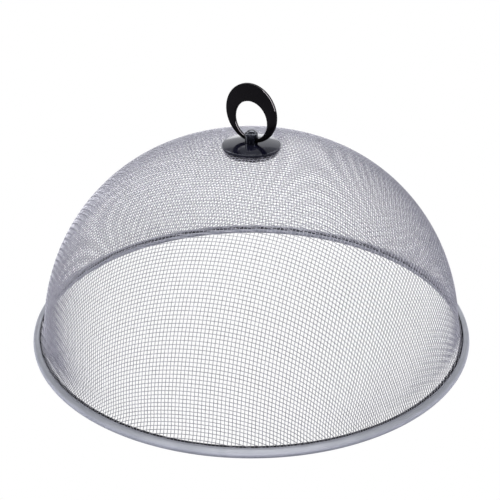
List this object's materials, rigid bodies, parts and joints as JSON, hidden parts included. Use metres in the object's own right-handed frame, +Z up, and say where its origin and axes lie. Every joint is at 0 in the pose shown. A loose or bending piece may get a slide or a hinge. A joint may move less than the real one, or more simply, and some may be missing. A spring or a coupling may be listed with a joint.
{
  "type": "mesh food cover",
  "caption": "Dome of woven wire mesh with a rolled metal rim and a ring handle on a round base, to stand over a plate of food.",
  "frame": {"origin": "centre of the rim's flat foot, on the surface that the cover stands on", "axes": "+Z up through the crown and the handle; the handle's ring stands in the XZ plane and tips about X"},
  "size_m": [0.35, 0.35, 0.2083],
  "materials": {
    "wire_mesh": "satin",
    "rim_sheet": "satin",
    "hoop_wire": "satin",
    "base_black": "gloss",
    "clamp_black": "satin",
    "post_black": "gloss",
    "ring_black": "gloss",
    "washer_zinc": "satin",
    "screw_zinc": "satin"
  },
  "bodies": {
    "cover": {"mesh_dome": "wire_mesh", "rim_band": "rim_sheet", "rim_hoop": "hoop_wire", "knob_base": "base_black", "clamp_disc": "clamp_black", "knob_post": "post_black", "washer": "washer_zinc", "fixing_screw": "screw_zinc"},
    "ring": {"grip_ring": "ring_black"}
  },
  "joints": [
    {"name": "ring_tilt", "type": "hinge", "parent": "cover", "child": "ring", "pos_m": [0, 0, 0.16424], "axis": [1, 0, 0], "range_deg": [-96, 96]}
  ]
}
